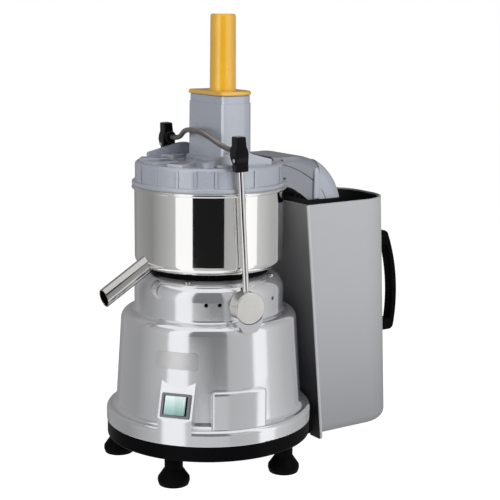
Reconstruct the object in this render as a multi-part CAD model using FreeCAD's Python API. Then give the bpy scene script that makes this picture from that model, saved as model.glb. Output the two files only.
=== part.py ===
import FreeCAD, Part
import math
import os

# Centrifugal juicer, millimetres. The origin is on the motor axis at table height, +Z is up,
# +X points to the pulp chute and bin, -X to the juice spout, and the clamp hinges on the Y line.

V = FreeCAD.Vector
UP = V(0, 0, 1)

# Base casting, seen as a turned profile
FLANGE_R = 115.0
FLANGE_Z = 52.0
FLANGE_TOP_Z = 69.0
CONE_FOOT_R = 104.35
CONE_TOP_R = 97.4
SHOULDER_Z = 177.5
DRUM_R = 83.0
DRUM_TOP_Z = 220.0
DRUM_ROUND = 20.0
CAST_WALL = 4.5
SEAL_R = 18.0

# Everything on the base keeps to one four-fold pattern, turned from the head
BASE_TURN = 220.0
QUARTERS = [0.0, 90.0, 180.0, 270.0]

# Pan and feet
PAN_Z = 35.0
PAN_R = 114.3
PAN_WALL = 3.0
FOOT_PLACES = [(90.0, 213.9), (94.0, 301.0), (97.0, 36.0), (106.0, 136.0)]
FOOT_STEM_R = 10.0
FOOT_FLARE_R = 17.5
FOOT_SCREW_R = 3.0

# Switch pad: a flat that leans back across the flange and the cone
PAD_LEAN = 20.7
PAD_HALF_W = 19.0
PAD_LOW_Z = 77.0
SWITCH_Z = 94.0
BEZEL_W = 32.0
BEZEL_H = 26.0
BEZEL_T = 2.4
ROCKER_HALF_W = 11.6
ROCKER_HALF_H = 9.9
ROCKER_TILT = 7.0
ROCKER_PIVOT = -2.0

# Blank raised panel and name plate
LABEL_TURN = 256.8
LABEL_SPAN = 33.5
LABEL_Z = (72.0, 110.0)
LABEL_R = 110.0
LABEL_ROUND = 4.0
PLATE_Z = 140.5
PLATE_W = 46.0
PLATE_H = 18.0
PLATE_T = 0.8

# Motor
SHAFT_R = 8.0
SHAFT_Z = (56.0, 262.0)
RUNNING_GAP = 0.05
STATOR_R = 56.0
AIR_R = 42.0
STATOR_Z = (88.0, 150.0)
SHIELD_R = 68.0
SHIELD_T = 10.0
BEARING_R = 17.0
TIE_PITCH_R = 62.0
TIE_R = 3.0

# Bowl and spout
GASKET_R = 66.5
BOWL_Z = 227.5
BOWL_R = 82.3
BOWL_WALL = 1.0
BOWL_ROUND = 10.0
RIM_Z = 312.0
RIM_R = 85.0
RIM_H = 4.0
SPOUT_R = 9.6
SPOUT_BORE_R = 8.4
SPOUT_START = V(-64.0, 0.0, 242.5)
SPOUT_TIP = V(-130.5, 0.0, 202.0)
SPOUT_MOUTH_LEAN = 15.0

# Lid, feed tube and pusher
LID_RIM_H = 5.0
LID_R = 81.5
LID_TOP_Z = 342.0
LID_WALL = 2.5
LID_RIB_TURNS = [175.5, 195.5, 214.5, 228.5, 243.5, 258.5, 274.5, 306.5]
GABLE_Y = 60.0
GABLE_T = 5.0
TUBE_X = (-5.5, 39.0)
TUBE_HALF_W = 35.0
TUBE_FRONT_ROUND = 3.0
TUBE_BACK_ROUND = 22.0
TUBE_TOP_Z = 413.0
TUBE_WALL = 2.5
PUSHER_X = 17.0
PUSHER_R = 14.2
PUSHER_TOP_Z = 500.0
PUSHER_PLATE_T = 5.0
PUSHER_LENGTH = 55.0
PUSHER_PLAY = 0.8

# Pulp chute
CHUTE_HALF_W = 38.0
CHUTE_WALL = 2.5
CHUTE_END_X = 154.5
CHUTE_END_Z = 295.0
CHUTE_ROUND = 11.0
HOOD_X = 121.0
HOOD_STEP = 1.4

# Clamp bail: two rods on discs, two knobs and an arched bar
HINGE_Z = 196.0
BAIL_LEAN = 3.4
BAIL_TURN = -5.5
DISC_R = 17.0
DISC_Y = (83.5, 100.0)
PIN_R = 5.0
ROD_R = 3.4
ROD_Y = 91.0
KNOB_Z = (340.0, 377.0)
KNOB_R = 8.0
BAR_R = 2.8
BAR_Z = 361.0
BAR_RISE = 15.0
BAR_BOW = 8.0

# Pulp bin
BIN_RIM_Z = 293.0
BIN_FLOOR_Z = 19.0
BIN_TIP_Z = 13.0
BIN_FACE_TOP_X = 88.0
BIN_FACE_LOW_X = 122.0
BIN_END_TOP_X = 219.5
BIN_END_LOW_X = 241.0
BIN_FACE_HALF_W = (50.0, 62.0)
BIN_END_HALF_W = (48.0, 56.0)
BIN_WALL = 2.5
PANEL_T = 3.0
LINER_T = 1.2
LINER_PLAY = 0.3
HANDLE_Z = (119.0, 243.5)
HANDLE_X = 265.7
HANDLE_HALF_W = 7.5
HANDLE_T = 9.0
SHELF_HALF_W = 28.0


# Helpers

def rounded_edges(points, place, closed=True):
    """Straight edges through (u, v, radius) points, with a tangent arc at each rounded corner."""
    count = len(points)
    starts = []
    ends = []
    arcs = []
    for i in range(count):
        here = place(*points[i][:2])
        radius = points[i][2] if len(points[i]) > 2 else 0.0
        open_end = not closed and i in (0, count - 1)
        if radius == 0.0 or open_end:
            starts.append(here)
            ends.append(here)
            arcs.append(None)
            continue
        back = (place(*points[i - 1][:2]) - here).normalize()
        ahead = (place(*points[(i + 1) % count][:2]) - here).normalize()
        half = back.getAngle(ahead) / 2
        reach = radius / math.tan(half)
        middle = (back + ahead).normalize()
        start = here + back * reach
        end = here + ahead * reach
        crown = here + middle * (radius / math.sin(half) - radius)
        starts.append(start)
        ends.append(end)
        arcs.append(Part.Arc(start, crown, end).toShape())
    edges = []
    for i in range(count):
        if arcs[i]:
            edges.append(arcs[i])
        following = (i + 1) % count
        if following == 0 and not closed:
            break
        if ends[i].distanceToPoint(starts[following]) > 1e-6:
            edges.append(Part.LineSegment(ends[i], starts[following]).toShape())
    return edges


def upright(u, v):
    return V(u, 0, v)


def flat(z):
    return lambda u, v: V(u, v, z)


def outward(shape):
    """The same solid with its faces pointing out."""
    if shape.Volume < 0:
        shape.reverse()
    return shape


def turned(points):
    """Solid of revolution about Z from (radius, height, corner radius) points."""
    face = Part.Face(Part.Wire(rounded_edges(points, upright)))
    return outward(face.revolve(V(0, 0, 0), UP, 360))


def slab(points, low, high):
    """Plan outline of (x, y, corner radius) points raised from low to high."""
    face = Part.Face(Part.Wire(rounded_edges(points, flat(low))))
    return outward(face.extrude(V(0, 0, high - low)))


def side_plate(points, y_low, y_high):
    """Side outline of (x, z, corner radius) points carried from y_low to y_high."""
    face = Part.Face(Part.Wire(rounded_edges(points, upright)))
    plate = outward(face.extrude(V(0, y_high - y_low, 0)))
    plate.translate(V(0, y_low, 0))
    return plate


def box(x, y, z):
    return Part.makeBox(x[1] - x[0], y[1] - y[0], z[1] - z[0], V(x[0], y[0], z[0]))


def rod(start, end, radius):
    return Part.makeCylinder(radius, (end - start).Length, start, end - start)


def ring(outer, inner, low, high):
    return turned([(inner, low), (outer, low), (outer, high), (inner, high)])


def spun(shape, angle):
    copy = shape.copy()
    copy.rotate(V(0, 0, 0), UP, angle)
    return copy


def around(shape, angles):
    return [spun(shape, angle) for angle in angles]


def mirrored_y(shape):
    return outward(shape.mirror(V(0, 0, 0), V(0, 1, 0)))


def both_sides(shape):
    return [shape, mirrored_y(shape)]


def clamp_pair(shape):
    """A clamp piece on both sides, on the hinge line's own bearing."""
    return around(shape, [BAIL_TURN]) + around(mirrored_y(shape), [BAIL_TURN])


def cut_all(shape, tools):
    return shape.cut(Part.makeCompound(tools))


def at_feet(shape):
    """A piece drawn on the Z axis, moved to each foot."""
    placed = []
    for radius, angle in FOOT_PLACES:
        one = shape.copy()
        one.translate(V(radius, 0, 0))
        placed.append(spun(one, angle))
    return placed


def on_switch_pad(shape):
    """Moves a piece drawn with X out of the pad and Z up it to its place on the base."""
    placed = shape.copy()
    placed.rotate(V(0, 0, 0), V(0, 1, 0), -PAD_LEAN)
    reach = FLANGE_R - (SWITCH_Z - PAD_LOW_Z) * math.tan(math.radians(PAD_LEAN))
    placed.translate(V(reach, 0, SWITCH_Z))
    return spun(placed, BASE_TURN)


def leaning(shape):
    """Moves a bail piece drawn upright to the bail's resting lean."""
    placed = shape.copy()
    placed.rotate(V(0, 0, HINGE_Z), V(0, 1, 0), -BAIL_LEAN)
    return placed


def cone_radius(z):
    share = (z - FLANGE_TOP_Z) / (SHOULDER_Z - FLANGE_TOP_Z)
    return CONE_FOOT_R + (CONE_TOP_R - CONE_FOOT_R) * share


# Base

def casting_shell():
    inner_drum = DRUM_R - CAST_WALL
    inner_top = DRUM_TOP_Z - CAST_WALL - 2
    return turned([
        (FLANGE_R, FLANGE_Z, 1), (FLANGE_R, FLANGE_TOP_Z, 5.5),
        (CONE_FOOT_R, FLANGE_TOP_Z, 7), (CONE_TOP_R, SHOULDER_Z, 11),
        (DRUM_R, SHOULDER_Z, 3), (DRUM_R, DRUM_TOP_Z, DRUM_ROUND),
        (SEAL_R, DRUM_TOP_Z), (SEAL_R, inner_top),
        (inner_drum, inner_top, 15), (inner_drum, SHOULDER_Z - CAST_WALL),
        (CONE_TOP_R - CAST_WALL, SHOULDER_Z - CAST_WALL, 7),
        (CONE_FOOT_R - CAST_WALL, FLANGE_Z)])


def switch_pad():
    slope = math.tan(math.radians(PAD_LEAN))
    inside = CONE_TOP_R
    outside = FLANGE_R + 1
    wedge = side_plate([
        (inside, FLANGE_TOP_Z - 8), (outside, FLANGE_TOP_Z - 8),
        (outside, PAD_LOW_Z - 1 / slope),
        (inside, PAD_LOW_Z + (FLANGE_R - inside) / slope)], -PAD_HALF_W, PAD_HALF_W)
    wedge = wedge.common(Part.makeCylinder(FLANGE_R, DRUM_TOP_Z))
    return spun(wedge, BASE_TURN)


def label_pad():
    inside = CONE_TOP_R - 1
    low, high = LABEL_Z
    profile = [(inside, low - 6), (LABEL_R, low - 6), (LABEL_R, high, LABEL_ROUND), (inside, high)]
    face = Part.Face(Part.Wire(rounded_edges(profile, upright)))
    pad = outward(face.revolve(V(0, 0, 0), UP, LABEL_SPAN))
    corners = []
    for edge in pad.Edges:
        ends = [math.hypot(vertex.X, vertex.Y) for vertex in edge.Vertexes]
        if edge.BoundBox.ZLength > 20 and min(ends) > LABEL_R - 0.1:
            corners.append(edge)
    pad = pad.makeFillet(LABEL_ROUND, corners)
    return spun(pad, LABEL_TURN - LABEL_SPAN / 2)


def clamp_lug():
    """Cast block under a clamp disc, tapering down the cone."""
    return side_plate([
        (-8, 169.5, 6), (8, 169.5, 6), (14.5, 180, 4), (14.5, 188), (-14.5, 188), (-14.5, 180, 4)],
        -DISC_Y[1], -DRUM_R + 4)


def disc_seat():
    """Round room that a clamp disc turns in."""
    return Part.makeCylinder(DISC_R + 0.5, 40, V(0, -DISC_Y[0] - 39.7, HINGE_Z), V(0, 1, 0))


def base_casting():
    body = casting_shell().fuse([switch_pad(), label_pad()] + clamp_pair(clamp_lug()))
    body = body.removeSplitter()
    hollow = turned([(0, 40), (CONE_FOOT_R - CAST_WALL, 40), (CONE_TOP_R - CAST_WALL, SHOULDER_Z - 8),
                     (0, SHOULDER_Z - 8)])
    body = body.cut(hollow)
    window = on_switch_pad(box((-30, 5), (-14.6, 14.6), (-11.6, 11.6)))
    sight_holes = []
    for angle in (236.5, 246.5, 294.5):
        sight_holes.append(spun(rod(V(70, 0, 197.5), V(95, 0, 197.5), 2.2), angle))
    slot = spun(box((70, 95), (-1.5, 1.5), (204, 216)), 265)
    seats = clamp_pair(disc_seat())
    pins = clamp_pair(rod(V(0, -75, HINGE_Z), V(0, -90, HINGE_Z), PIN_R))
    screws = around(gasket_screw_space(), [BASE_TURN + q for q in QUARTERS])
    ties = around(rod(V(TIE_PITCH_R, 0, 150), V(TIE_PITCH_R, 0, 225), TIE_R), QUARTERS)
    gland = cord_gland_at(rod(V(90, 0, 0), V(130, 0, 0), 6.5))
    return cut_all(body, [window, slot, gland] + sight_holes + seats + pins + screws + ties)


def gasket_screw_space():
    return rod(V(71, 0, 203), V(71, 0, 214), 2.0).fuse(rod(V(71, 0, 214), V(71, 0, 226), 3.4))


def gasket_screws():
    head = Part.makeCylinder(3.2, 5.5, V(71, 0, 214.3))
    drive = Part.makeCylinder(1.5, 2, V(71, 0, 218))
    screw = head.cut(drive).fuse(Part.makeCylinder(2.0, 11.5, V(71, 0, 203)))
    return Part.makeCompound(around(screw, [BASE_TURN + q for q in QUARTERS]))


def name_plate():
    """Blank plate bent to the cone."""
    shell = turned([
        (cone_radius(120), 120), (cone_radius(120) + PLATE_T, 120),
        (cone_radius(175) + PLATE_T, 175), (cone_radius(175), 175)])
    half_w = PLATE_W / 2
    half_h = PLATE_H / 2
    corners = [(-half_w, -half_h, 3), (half_w, -half_h, 3), (half_w, half_h, 3), (-half_w, half_h, 3)]
    window = slab(corners, 80, 120)
    window.rotate(V(0, 0, 0), V(0, 1, 0), 90)
    window.rotate(V(0, 0, 0), V(1, 0, 0), 90)
    window.translate(V(0, 0, PLATE_Z))
    return spun(shell.common(window), BASE_TURN - 1.5)


def base_pan():
    inside = PAN_R - PAN_WALL
    pan = turned([
        (0, PAN_Z), (PAN_R, PAN_Z, 2), (PAN_R, FLANGE_Z), (inside, FLANGE_Z),
        (inside, PAN_Z + 7), (inside - 4, PAN_Z + PAN_WALL), (0, PAN_Z + PAN_WALL)])
    vent = box((40, 72), (-2.5, 2.5), (PAN_Z - 1, PAN_Z + 5))
    vents = around(vent, range(15, 360, 30))
    screw_holes = at_feet(Part.makeCylinder(FOOT_SCREW_R, 20, V(0, 0, PAN_Z - 5)))
    shelf_holes = [Part.makeCylinder(2.5, 20, V(x, 0, PAN_Z - 5)) for x in SHELF_SCREW_X]
    return cut_all(pan, vents + screw_holes + shelf_holes)


def foot():
    stem = FOOT_STEM_R
    flare = FOOT_FLARE_R
    return turned([
        (FOOT_SCREW_R + 3.2, 0), (flare - 1.5, 0, 1.2), (flare, 5, 2), (flare - 0.3, 8.5, 1),
        (stem + 1, 17.5, 1), (stem, 18.5), (stem, PAN_Z), (FOOT_SCREW_R, PAN_Z), (FOOT_SCREW_R, 8),
        (FOOT_SCREW_R + 3.2, 8)])


def feet():
    return Part.makeCompound(at_feet(foot()))


def foot_screws():
    head = Part.makeCylinder(5.4, 4, V(0, 0, 4))
    shank = Part.makeCylinder(FOOT_SCREW_R, 33, V(0, 0, 8))
    return Part.makeCompound(at_feet(head.fuse(shank)))


def cord_gland_at(shape):
    placed = shape.copy()
    placed.translate(V(0, 0, 60.5))
    return spun(placed, 60)


def cord_gland():
    body = rod(V(96, 0, 0), V(118, 0, 0), 6.5)
    nut = Part.Face(Part.makePolygon([
        V(FLANGE_R, 8.2 * math.cos(math.radians(a)), 8.2 * math.sin(math.radians(a)))
        for a in range(0, 361, 60)])).extrude(V(5, 0, 0))
    dome = Part.makeCone(7.4, 5.5, 8, V(119.6, 0, 0), V(1, 0, 0))
    bore = rod(V(90, 0, 0), V(130, 0, 0), 3.6)
    return cord_gland_at(body.fuse([outward(nut), dome]).cut(bore))


# Switch

def switch_housing():
    half_w = BEZEL_W / 2
    half_h = BEZEL_H / 2
    corners = [
        (-half_w, -half_h, 1.5), (half_w, -half_h, 1.5), (half_w, half_h, 1.5), (-half_w, half_h, 1.5)]
    bezel = slab(corners, 0, BEZEL_T)
    bezel.rotate(V(0, 0, 0), V(0, 1, 0), 90)
    bezel.rotate(V(0, 0, 0), V(1, 0, 0), 90)
    body = box((-16, 0), (-14.4, 14.4), (-11.4, 11.4))
    terminals = [box((-22, -16), (y - 0.4, y + 0.4), (-3, 3)) for y in (-8, 0, 8)]
    well = box((-9, 5), (-13.3, 13.3), (-ROCKER_HALF_H - 0.3, ROCKER_HALF_H + 0.3))
    pivot = rod(V(ROCKER_PIVOT, 0, -10.9), V(ROCKER_PIVOT, 0, 10.9), 1.5 + RUNNING_GAP)
    return on_switch_pad(cut_all(bezel.fuse([body] + terminals), [well, pivot]))


def switch_rocker():
    half = ROCKER_HALF_W
    outline = [(-5, -6, 1), (0.5, -half, 1), (4.2, -half, 0.8), (2.8, 0, 12), (4.2, half, 0.8),
               (0.5, half, 1), (-5, 6, 1)]
    rocker = slab(outline, -ROCKER_HALF_H, ROCKER_HALF_H)
    trunnion = rod(V(ROCKER_PIVOT, 0, -10.7), V(ROCKER_PIVOT, 0, 10.7), 1.5)
    rocker = rocker.fuse(trunnion)
    rocker.rotate(V(ROCKER_PIVOT, 0, 0), UP, -ROCKER_TILT)
    return on_switch_pad(rocker)


# Motor

def motor_stator():
    stator = ring(STATOR_R, AIR_R + 0.6, *STATOR_Z)
    slot = box((AIR_R, AIR_R + 9), (-1.5, 1.5), (STATOR_Z[0] - 1, STATOR_Z[1] + 1))
    return cut_all(stator, around(slot, range(0, 360, 15)))


def motor_shield(low):
    disc = ring(SHIELD_R, BEARING_R, low, low + SHIELD_T)
    ties = around(Part.makeCylinder(TIE_R, SHIELD_T, V(TIE_PITCH_R, 0, low)), QUARTERS)
    vents = around(Part.makeCylinder(6, SHIELD_T, V(38, 0, low)), range(0, 360, 45))
    return cut_all(disc, ties + vents)


def motor_top_shield():
    return motor_shield(STATOR_Z[1])


def motor_bottom_shield():
    return motor_shield(STATOR_Z[0] - SHIELD_T)


def bearing(low):
    return ring(BEARING_R, SHAFT_R + RUNNING_GAP, low, low + SHIELD_T)


def top_bearing():
    return bearing(STATOR_Z[1])


def bottom_bearing():
    return bearing(STATOR_Z[0] - SHIELD_T)


def motor_bolts():
    low = STATOR_Z[0] - SHIELD_T
    inner_top = DRUM_TOP_Z - CAST_WALL - 2
    shank = rod(V(TIE_PITCH_R, 0, low), V(TIE_PITCH_R, 0, inner_top + 4), TIE_R)
    head = rod(V(TIE_PITCH_R, 0, low - 4), V(TIE_PITCH_R, 0, low), 5)
    return Part.makeCompound(around(shank.fuse(head), QUARTERS))


def capacitor():
    can = turned([(0, PAN_Z + PAN_WALL), (13, PAN_Z + PAN_WALL, 2), (13, 98, 2), (0, 98)])
    can.translate(V(0, 82.3, 0))
    return can


def motor_shaft():
    low, high = SHAFT_Z
    thread = turned([(0, high), (5, high), (5, high + 14, 1), (0, high + 14)])
    return rod(V(0, 0, low), V(0, 0, high), SHAFT_R).fuse(thread)


def rotor_core():
    return ring(AIR_R, SHAFT_R, STATOR_Z[0] + 2, STATOR_Z[1] - 2)


def cooling_fan():
    low = SHAFT_Z[0] + 2
    hub = ring(14, SHAFT_R, low, low + 12)
    plate = ring(58, SHAFT_R, low, low + 2)
    blade = box((12, 56), (-1, 1), (low + 1, low + 11))
    return hub.fuse([plate] + around(blade, range(0, 360, 30)))


def shaft_seal():
    inner_top = DRUM_TOP_Z - CAST_WALL - 2
    return turned([
        (SHAFT_R + 0.3, inner_top), (SEAL_R, inner_top), (SEAL_R, DRUM_TOP_Z), (13, DRUM_TOP_Z + 6),
        (SHAFT_R + 0.3, DRUM_TOP_Z + 6)])


# Bowl, basket and lid

def bowl_gasket():
    return turned([
        (40, DRUM_TOP_Z), (GASKET_R - 1.5, DRUM_TOP_Z), (GASKET_R, BOWL_Z - 5, 1),
        (GASKET_R, BOWL_Z - 1, 1), (60, BOWL_Z), (40, BOWL_Z)])


def bowl_outside():
    return turned([(0, BOWL_Z), (BOWL_R, BOWL_Z, BOWL_ROUND), (BOWL_R, RIM_Z), (0, RIM_Z)])


def juice_bowl():
    inside = BOWL_R - BOWL_WALL
    collar = 15.0
    bowl = turned([
        (collar, BOWL_Z), (BOWL_R, BOWL_Z, BOWL_ROUND), (BOWL_R, RIM_Z, 0.5),
        (RIM_R, RIM_Z, 1.8), (RIM_R, RIM_Z + RIM_H, 1.8), (inside, RIM_Z + RIM_H, 2),
        (inside, BOWL_Z + BOWL_WALL, BOWL_ROUND - BOWL_WALL), (collar + BOWL_WALL, BOWL_Z + BOWL_WALL),
        (collar + BOWL_WALL, BOWL_Z + 9), (collar, BOWL_Z + 9)])
    return bowl.cut(rod(SPOUT_START + V(30, 0, 18), SPOUT_TIP, SPOUT_BORE_R))


def juice_spout():
    run = (SPOUT_TIP - SPOUT_START).normalize()
    far_end = SPOUT_TIP + run * 8
    pipe = rod(SPOUT_START, far_end, SPOUT_R).cut(rod(SPOUT_START, far_end, SPOUT_BORE_R))
    mouth = box((-40, 0), (-30, 30), (-40, 40))
    mouth.rotate(V(0, 0, 0), V(0, 1, 0), -SPOUT_MOUTH_LEAN)
    mouth.translate(SPOUT_TIP)
    pipe = pipe.cut(mouth)
    gasket_space = Part.makeCylinder(GASKET_R + 0.5, BOWL_Z)
    return pipe.cut(bowl_outside()).cut(gasket_space)


def drive_hub():
    return ring(13, SHAFT_R, BOWL_Z + 12, SHAFT_Z[1])


def filter_basket():
    floor_z = SHAFT_Z[1]
    return turned([
        (48, floor_z), (52, floor_z, 1), (72, 306, 1), (75, 306), (75, 308), (71, 308, 1),
        (50.5, floor_z + 2.5), (48, floor_z + 2.5)])


def grater_disc():
    floor_z = SHAFT_Z[1]
    disc = ring(48, 5, floor_z, floor_z + 2.5)
    tooth = Part.makeCone(1.6, 0.4, 2.2, V(0, 0, floor_z + 2.3), UP)
    teeth = []
    for radius, count in ((24, 10), (32, 14), (40, 18)):
        for i in range(count):
            one = tooth.copy()
            one.translate(V(radius, 0, 0))
            teeth.append(spun(one, 360 * i / count))
    return disc.fuse(teeth)


def basket_nut():
    floor_z = SHAFT_Z[1] + 2.5
    return turned([(5, floor_z), (14, floor_z, 1), (14, floor_z + 5, 2), (9, floor_z + 11, 1.5),
                   (5, floor_z + 11)])


def tube_outline(grow):
    """D-shaped plan of the feed tube, with square front corners and a round back."""
    front = max(TUBE_FRONT_ROUND + grow, 1.0)
    back = TUBE_BACK_ROUND + grow
    half = TUBE_HALF_W + grow
    low_x = TUBE_X[0] - grow
    high_x = TUBE_X[1] + grow
    return [(low_x, -half, front), (high_x, -half, back), (high_x, half, back), (low_x, half, front)]


def lid_skin():
    low = RIM_Z + RIM_H
    inside = LID_R - LID_WALL
    return turned([
        (inside, low), (RIM_R - 1, low), (RIM_R, low + 1.5, 1), (RIM_R, low + LID_RIM_H, 2),
        (LID_R, low + LID_RIM_H, 1), (LID_R, LID_TOP_Z, 4), (0, LID_TOP_Z),
        (0, LID_TOP_Z - LID_WALL), (inside, LID_TOP_Z - LID_WALL, 3)])


def lid_side_ribs():
    rib = box((LID_R - 1, LID_R + 1.2), (-1.2, 1.2), (RIM_Z + RIM_H + 3, LID_TOP_Z - 3))
    return around(rib, LID_RIB_TURNS)


def lid_top_panels():
    """Raised radial panels between the rim and the feed tube."""
    low = LID_TOP_Z - 1
    sector = turned([(46, low), (76, low), (76, LID_TOP_Z + 3, 1.5), (46, LID_TOP_Z + 3, 1.5)])
    panels = []
    for turn in (108, 150, 180, 210, 252):
        wedge = box((40, 80), (-9, 9), (low - 1, LID_TOP_Z + 5))
        panels.append(sector.common(spun(wedge, turn)))
    return panels


def lid_gable():
    """Long rib with a sloping ridge that the closed clamp bar stands over."""
    ridge = 14.5
    return side_plate([
        (-44, LID_TOP_Z - 1), (40, LID_TOP_Z - 1), (40, LID_TOP_Z + 5), (6, LID_TOP_Z + ridge, 3),
        (-3, LID_TOP_Z + ridge, 3), (-44, LID_TOP_Z + 5, 2)], -GABLE_Y - GABLE_T / 2, -GABLE_Y + GABLE_T / 2)


def lid():
    raised = lid_side_ribs() + lid_top_panels() + both_sides(lid_gable())
    body = lid_skin().fuse(raised).removeSplitter()
    feed = slab(tube_outline(-TUBE_WALL), LID_TOP_Z - 20, LID_TOP_Z + 20)
    way_out = box((60, 90), (-CHUTE_HALF_W + CHUTE_WALL, CHUTE_HALF_W - CHUTE_WALL),
                  (RIM_Z + RIM_H + LID_RIM_H + 1, LID_TOP_Z - LID_WALL))
    return cut_all(body, [feed, way_out])


def lid_seal():
    low = RIM_Z + RIM_H
    return ring(LID_R - LID_WALL, LID_R - LID_WALL - 3.5, low, low + 3)


def feed_tube():
    tube = slab(tube_outline(0), LID_TOP_Z, TUBE_TOP_Z)
    foot_flange = slab(tube_outline(3), LID_TOP_Z, LID_TOP_Z + 4)
    collar = slab(tube_outline(0.8), TUBE_TOP_Z - 7, TUBE_TOP_Z)
    inside = slab(tube_outline(-TUBE_WALL), LID_TOP_Z - 1, TUBE_TOP_Z + 1)
    return tube.fuse([foot_flange, collar]).cut(inside)


def pusher_handle():
    plate_z = TUBE_TOP_Z + 0.2
    plate = slab(tube_outline(1.4), plate_z, plate_z + PUSHER_PLATE_T)
    grip = turned([
        (0, plate_z), (PUSHER_R, plate_z), (PUSHER_R - 0.5, PUSHER_TOP_Z, 2.2), (0, PUSHER_TOP_Z)])
    grip.translate(V(PUSHER_X, 0, 0))
    return plate.fuse(grip)


def pusher_block():
    plate_z = TUBE_TOP_Z + 0.2
    return slab(tube_outline(-TUBE_WALL - PUSHER_PLAY), plate_z - PUSHER_LENGTH, plate_z)


# Pulp chute

def chute_profile(grow):
    """Side view of the chute, from the lid over the bend to its mouth above the bin."""
    end_x = CHUTE_END_X + grow
    top_z = 345.0 + grow
    bend = Part.Arc(V(84, 0, top_z), V(131 + grow * 0.7, 0, 331 + grow * 0.7), V(end_x, 0, CHUTE_END_Z))
    corners = [
        V(end_x, 0, CHUTE_END_Z), V(107 - grow, 0, CHUTE_END_Z), V(96 - grow, 0, 303), V(86 - grow, 0, 309),
        V(76 - grow, 0, 312.5), V(58, 0, 312.5), V(58, 0, top_z), V(84, 0, top_z)]
    edges = [bend.toShape()]
    for start, end in zip(corners, corners[1:]):
        edges.append(Part.LineSegment(start, end).toShape())
    return Part.Face(Part.Wire(edges))


def chute_solid(grow):
    """The chute's outer form, with its two long upper edges rounded."""
    half = CHUTE_HALF_W + grow
    solid = outward(chute_profile(grow).extrude(V(0, 2 * half, 0)))
    solid.translate(V(0, -half, 0))
    long_edges = []
    for edge in solid.Edges:
        limits = edge.BoundBox
        if limits.YLength < 0.01 and limits.ZMax > 340 and limits.XLength > 20:
            long_edges.append(edge)
    return solid.makeFillet(CHUTE_ROUND + grow, long_edges)


def chute_hollow():
    mouth = box((107 + CHUTE_WALL, CHUTE_END_X - CHUTE_WALL),
                (-CHUTE_HALF_W + CHUTE_WALL, CHUTE_HALF_W - CHUTE_WALL), (CHUTE_END_Z - 2, CHUTE_END_Z + 3))
    floor = box((50, 84), (-60, 60), (300, RIM_Z + RIM_H + LID_RIM_H + 1))
    return chute_solid(-CHUTE_WALL).cut(floor).fuse(mouth)


def lid_space():
    """The room the lid and the bowl's rim take up beside the chute."""
    return Part.makeCylinder(RIM_R + 0.1, RIM_H + LID_RIM_H + 5.1, V(0, 0, RIM_Z - 4)).fuse(
        Part.makeCylinder(LID_R + 0.05, 40, V(0, 0, LID_TOP_Z - 40)))


def chute():
    body = chute_solid(0).cut(chute_hollow()).cut(lid_space())
    body = body.common(box((55, HOOD_X), (-60, 60), (280, 360)))
    inner_end = box((50, 62), (-60, 60), (LID_TOP_Z - 1, 360))
    return largest(body.cut(inner_end))


def chute_hood():
    body = chute_solid(HOOD_STEP).cut(chute_hollow())
    return largest(body.common(box((HOOD_X, 170), (-60, 60), (280, 360))))


def largest(shape):
    return max(shape.Solids, key=lambda solid: solid.Volume)


# Clamp bail

def clamp_pivot_pins():
    return Part.makeCompound(clamp_pair(rod(V(0, -76, HINGE_Z), V(0, -DISC_Y[1] + 4, HINGE_Z), PIN_R)))


def clamp_disc():
    low, high = DISC_Y
    disc = turned([(0, low), (DISC_R, low, 0.8), (DISC_R, high, 1.5), (0, high)])
    disc.rotate(V(0, 0, 0), V(1, 0, 0), 90)
    disc.translate(V(0, 0, HINGE_Z))
    bore = rod(V(0, -70, HINGE_Z), V(0, -DISC_Y[1] + 3.8, HINGE_Z), PIN_R + RUNNING_GAP)
    socket = rod(V(0, -ROD_Y, HINGE_Z + 8), V(0, -ROD_Y, HINGE_Z + 30), ROD_R)
    return leaning(disc.cut(bore).cut(socket))


def clamp_rod():
    bar = rod(V(0, -ROD_Y, HINGE_Z + 8), V(0, -ROD_Y, KNOB_Z[0] + 12), ROD_R)
    return leaning(bar.cut(rod_pin_shape()))


def rod_pin_shape():
    height = HINGE_Z + DISC_R + 6
    return rod(V(-6.5, -ROD_Y, height), V(6.5, -ROD_Y, height), 1.5)


def bar_path():
    """The bar's centre line: flat at both ends, arched up and bowed towards the spout."""
    rise = math.hypot(BAR_RISE, BAR_BOW)
    lift = V(-BAR_BOW / rise, 0, BAR_RISE / rise)
    foot = V(0, 0, BAR_Z)

    def place(along, up):
        return foot + V(0, along, 0) + lift * up

    ends = ROD_Y - 4
    points = [(-ends, 0), (-58, 0, 80), (-22, rise, 80), (22, rise, 80), (58, 0, 80), (ends, 0)]
    return Part.Wire(rounded_edges(points, place, closed=False))


def clamp_bar():
    path = bar_path()
    start = path.Vertexes[0].Point
    section = Part.Wire(Part.makeCircle(BAR_R, start, V(0, 1, 0)))
    return spun(leaning(outward(path.makePipeShell([section], True, False))), BAIL_TURN)


def knob_bolt_shape():
    shank = rod(V(0, -ROD_Y + 4, BAR_Z), V(0, -ROD_Y - KNOB_R, BAR_Z), 1.8)
    head = rod(V(0, -ROD_Y - KNOB_R - 0.2, BAR_Z), V(0, -ROD_Y - KNOB_R - 3, BAR_Z), 3.6)
    neck = rod(V(0, -ROD_Y - KNOB_R, BAR_Z), V(0, -ROD_Y - KNOB_R - 1, BAR_Z), 1.8)
    return head.fuse([shank, neck])


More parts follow.
